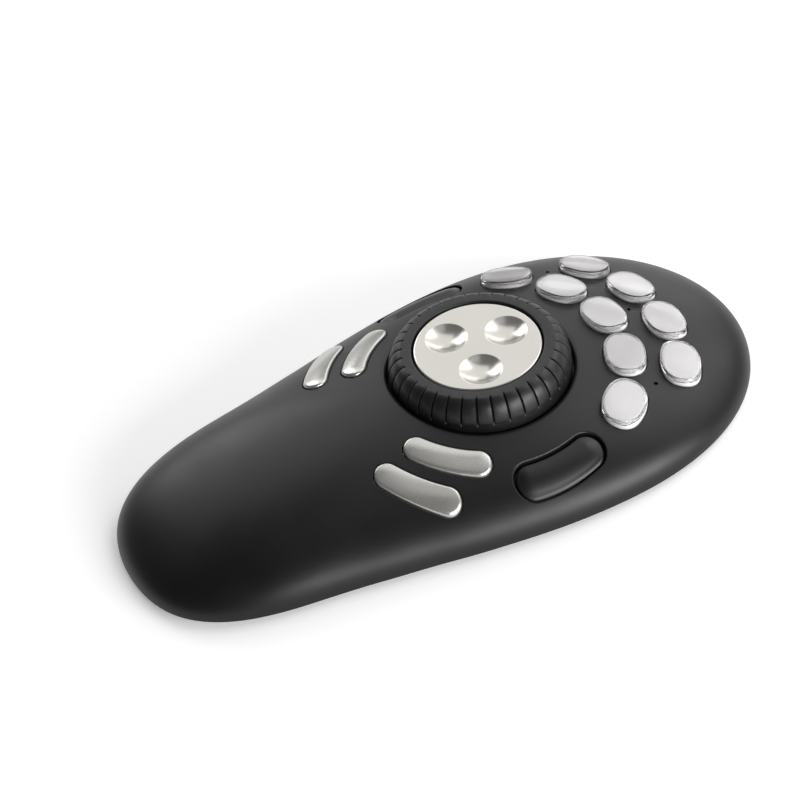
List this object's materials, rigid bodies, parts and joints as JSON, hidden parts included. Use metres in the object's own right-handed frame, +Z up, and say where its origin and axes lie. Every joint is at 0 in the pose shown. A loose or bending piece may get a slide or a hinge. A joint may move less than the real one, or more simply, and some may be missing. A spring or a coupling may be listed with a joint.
{
  "type": "multimedia controller",
  "caption": "Desk controller with a crowned black pebble case, a silver jog disc inside a sprung shuttle ring, clear-capped oval keys and curved bar keys.",
  "frame": {"origin": "centre of the bounding box, on the plane that the rubber feet stand on", "axes": "+Z up along the wheel axis; +Y from the palm rest to the wide head; +X to the right hand"},
  "size_m": [0.121, 0.226, 0.033],
  "materials": {
    "satin_black_abs": "fine spark-eroded satin moulding, nearly black",
    "matte_black_abs": "matt black moulding",
    "side_black_abs": "satin black moulding, a little smoother than the shell",
    "foot_rubber": "matt black rubber",
    "gland_rubber": "matt black rubber",
    "ring_rubber": "soft-touch black elastomer with thin grooves",
    "silver_lacquer": "satin silver lacquer with a fine metallic grain",
    "clear_acrylic": "clear moulded acrylic",
    "pearl_label": "plain pearl-white card label",
    "white_abs": "plain white moulding",
    "grey_acetal": "plain grey acetal",
    "bronze": "sintered bronze",
    "spring_steel": "bright steel",
    "zinc_steel": "zinc-plated steel",
    "nickel_magnet": "nickel-plated magnet",
    "green_laminate": "glass-fibre laminate with solder mask",
    "chip_epoxy": "black moulded epoxy",
    "ivory_nylon": "natural nylon"
  },
  "bodies": {
    "case": {"top_shell": "satin_black_abs", "base_plate": "matte_black_abs", "rubber_feet": "foot_rubber", "case_screws": "zinc_steel", "main_board": "green_laminate", "board_screws": "zinc_steel", "controller_chip": "chip_epoxy", "cable_socket": "ivory_nylon", "cable_gland": "gland_rubber", "tact_switches": "chip_epoxy", "wheel_mount": "grey_acetal", "mount_screws": "zinc_steel", "jog_bush": "bronze", "shuttle_spring": "spring_steel", "jog_sensor": "chip_epoxy", "shuttle_sensor": "chip_epoxy"},
    "shuttle": {"shuttle_ring": "ring_rubber", "shuttle_carrier": "grey_acetal"},
    "jog": {"jog_disc": "silver_lacquer", "jog_spindle": "spring_steel", "spindle_clip": "spring_steel", "jog_magnet": "nickel_magnet"},
    "key_1": {"key_cap_1": "clear_acrylic", "key_label_1": "pearl_label", "key_stem_1": "white_abs"},
    "key_2": {"key_cap_2": "clear_acrylic", "key_label_2": "pearl_label", "key_stem_2": "white_abs"},
    "key_3": {"key_cap_3": "clear_acrylic", "key_label_3": "pearl_label", "key_stem_3": "white_abs"},
    "key_4": {"key_cap_4": "clear_acrylic", "key_label_4": "pearl_label", "key_stem_4": "white_abs"},
    "key_5": {"key_cap_5": "clear_acrylic", "key_label_5": "pearl_label", "key_stem_5": "white_abs"},
    "key_6": {"key_cap_6": "clear_acrylic", "key_label_6": "pearl_label", "key_stem_6": "white_abs"},
    "key_7": {"key_cap_7": "clear_acrylic", "key_label_7": "pearl_label", "key_stem_7": "white_abs"},
    "key_8": {"key_cap_8": "clear_acrylic", "key_label_8": "pearl_label", "key_stem_8": "white_abs"},
    "key_9": {"key_cap_9": "clear_acrylic", "key_label_9": "pearl_label", "key_stem_9": "white_abs"},
    "silver_inner_right": {"silver_inner_right": "silver_lacquer"},
    "silver_outer_right": {"silver_outer_right": "silver_lacquer"},
    "side_key_right": {"side_key_right": "side_black_abs"},
    "silver_inner_left": {"silver_inner_left": "silver_lacquer"},
    "silver_outer_left": {"silver_outer_left": "silver_lacquer"},
    "side_key_left": {"side_key_left": "side_black_abs"}
  },
  "joints": [
    {"name": "jog_turn", "type": "hinge", "parent": "case", "child": "jog", "pos_m": [0, 0.0178, 0.0327], "axis": [0, 0, 1], "continuous": true},
    {"name": "shuttle_turn", "type": "hinge", "parent": "case", "child": "shuttle", "pos_m": [0, 0.0178, 0.0181], "axis": [0, 0, 1], "range_deg": [-70, 70], "stiffness_Nm_per_rad": 0.02, "deforming": ["shuttle_spring"]},
    {"name": "key_1_press", "type": "slide", "parent": "case", "child": "key_1", "axis": [0, 0, -1], "range_m": [0, 0.001], "stiffness_N_per_m": 600, "springref_m": -0.0008},
    {"name": "key_2_press", "type": "slide", "parent": "case", "child": "key_2", "axis": [0, 0, -1], "range_m": [0, 0.001], "stiffness_N_per_m": 600, "springref_m": -0.0008},
    {"name": "key_3_press", "type": "slide", "parent": "case", "child": "key_3", "axis": [0, 0, -1], "range_m": [0, 0.001], "stiffness_N_per_m": 600, "springref_m": -0.0008},
    {"name": "key_4_press", "type": "slide", "parent": "case", "child": "key_4", "axis": [0, 0, -1], "range_m": [0, 0.001], "stiffness_N_per_m": 600, "springref_m": -0.0008},
    {"name": "key_5_press", "type": "slide", "parent": "case", "child": "key_5", "axis": [0, 0, -1], "range_m": [0, 0.001], "stiffness_N_per_m": 600, "springref_m": -0.0008},
    {"name": "key_6_press", "type": "slide", "parent": "case", "child": "key_6", "axis": [0, 0, -1], "range_m": [0, 0.001], "stiffness_N_per_m": 600, "springref_m": -0.0008},
    {"name": "key_7_press", "type": "slide", "parent": "case", "child": "key_7", "axis": [0, 0, -1], "range_m": [0, 0.001], "stiffness_N_per_m": 600, "springref_m": -0.0008},
    {"name": "key_8_press", "type": "slide", "parent": "case", "child": "key_8", "axis": [0, 0, -1], "range_m": [0, 0.001], "stiffness_N_per_m": 600, "springref_m": -0.0008},
    {"name": "key_9_press", "type": "slide", "parent": "case", "child": "key_9", "axis": [0, 0, -1], "range_m": [0, 0.001], "stiffness_N_per_m": 600, "springref_m": -0.0008},
    {"name": "silver_inner_right_press", "type": "slide", "parent": "case", "child": "silver_inner_right", "axis": [0, 0, -1], "range_m": [0, 0.0008], "stiffness_N_per_m": 600, "springref_m": -0.0008},
    {"name": "silver_outer_right_press", "type": "slide", "parent": "case", "child": "silver_outer_right", "axis": [0, 0, -1], "range_m": [0, 0.0008], "stiffness_N_per_m": 600, "springref_m": -0.0008},
    {"name": "side_key_right_press", "type": "slide", "parent": "case", "child": "side_key_right", "axis": [0, 0, -1], "range_m": [0, 0.0008], "stiffness_N_per_m": 600, "springref_m": -0.0008},
    {"name": "silver_inner_left_press", "type": "slide", "parent": "case", "child": "silver_inner_left", "axis": [0, 0, -1], "range_m": [0, 0.0008], "stiffness_N_per_m": 600, "springref_m": -0.0008},
    {"name": "silver_outer_left_press", "type": "slide", "parent": "case", "child": "silver_outer_left", "axis": [0, 0, -1], "range_m": [0, 0.0008], "stiffness_N_per_m": 600, "springref_m": -0.0008},
    {"name": "side_key_left_press", "type": "slide", "parent": "case", "child": "side_key_left", "axis": [0, 0, -1], "range_m": [0, 0.0008], "stiffness_N_per_m": 600, "springref_m": -0.0008}
  ]
}
